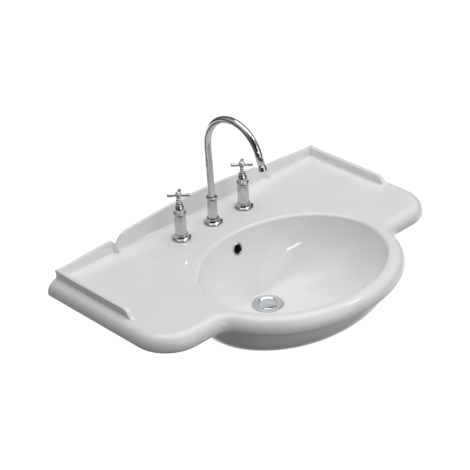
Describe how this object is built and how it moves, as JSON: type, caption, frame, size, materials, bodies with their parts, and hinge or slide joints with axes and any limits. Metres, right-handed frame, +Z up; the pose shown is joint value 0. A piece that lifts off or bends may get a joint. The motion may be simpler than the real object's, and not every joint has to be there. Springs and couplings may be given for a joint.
{
  "type": "console washbasin with taps",
  "caption": "Wall-hung vitreous china basin with an arched upstand, tap deck, oval bowl, overflow, push-down waste and a swivelling swan-neck mixer with cross-handle valves.",
  "frame": {"origin": "on the wall plane, at the middle of the basin's width, level with the top of its deck", "axes": "+X along the wall to the cold valve's side, +Y into the wall, +Z up; the basin stands out towards -Y"},
  "size_m": [0.87, 0.568, 0.5433],
  "materials": {
    "china": "white vitreous china under a clear glaze",
    "chrome": "polished chrome plate on brass",
    "brass": "bare machined brass",
    "stainless": "drawn stainless spring wire",
    "rubber": "matt black rubber",
    "acetal": "natural white acetal",
    "alumina": "lapped alumina"
  },
  "bodies": {
    "fixed_basin": {"basin": "china", "cold_cartridge": "brass", "cold_fixed_disc": "alumina", "cold_link_nut_spout": "brass", "cold_link_nut_valve": "brass", "cold_link_pipe": "brass", "cold_valve_bonnet": "chrome", "cold_valve_collar": "chrome", "cold_valve_column": "chrome", "cold_valve_deck_seal": "rubber", "cold_valve_foot": "chrome", "cold_valve_locknut": "brass", "cold_valve_rubber_washer": "rubber", "cold_valve_tail": "brass", "hot_cartridge": "brass", "hot_fixed_disc": "alumina", "hot_link_nut_spout": "brass", "hot_link_nut_valve": "brass", "hot_link_pipe": "brass", "hot_valve_bonnet": "chrome", "hot_valve_collar": "chrome", "hot_valve_column": "chrome", "hot_valve_deck_seal": "rubber", "hot_valve_foot": "chrome", "hot_valve_locknut": "brass", "hot_valve_rubber_washer": "rubber", "hot_valve_tail": "brass", "overflow_ring": "chrome", "plug_guide": "acetal", "plug_spring": "stainless", "spout_collar": "chrome", "spout_column": "chrome", "spout_deck_seal": "rubber", "spout_foot": "chrome", "spout_locknut": "brass", "spout_o_ring_lower": "rubber", "spout_o_ring_upper": "rubber", "spout_rubber_washer": "rubber", "spout_shank": "brass", "spout_thrust_washer": "acetal", "waste_backnut": "brass", "waste_body": "chrome", "waste_flange_seal": "rubber", "waste_under_seal": "rubber"},
    "swan_neck": {"spout_tube": "chrome", "aerator_housing": "chrome", "aerator_insert": "acetal"},
    "hot_handle": {"hot_cross_handle": "chrome", "hot_handle_finial": "chrome", "hot_spindle": "brass", "hot_moving_disc": "alumina"},
    "cold_handle": {"cold_cross_handle": "chrome", "cold_handle_finial": "chrome", "cold_spindle": "brass", "cold_moving_disc": "alumina"},
    "plug": {"waste_plug": "chrome", "plug_stem": "brass", "plug_o_ring": "rubber"}
  },
  "joints": [
    {"name": "spout_swivel", "type": "hinge", "parent": "fixed_basin", "child": "swan_neck", "pos_m": [0, -0.0765, 0], "axis": [0, 0, 1], "range_deg": [-60, 60]},
    {"name": "hot_handle_turn", "type": "hinge", "parent": "fixed_basin", "child": "hot_handle", "pos_m": [-0.1, -0.0765, 0.112], "axis": [0, 0, 1], "range_deg": [0, 90]},
    {"name": "cold_handle_turn", "type": "hinge", "parent": "fixed_basin", "child": "cold_handle", "pos_m": [0.1, -0.0765, 0.112], "axis": [0, 0, 1], "range_deg": [-90, 0]},
    {"name": "plug_lift", "type": "slide", "parent": "fixed_basin", "child": "plug", "axis": [0, 0, 1], "range_m": [0, 0.008], "deforming": ["plug_spring"]}
  ]
}
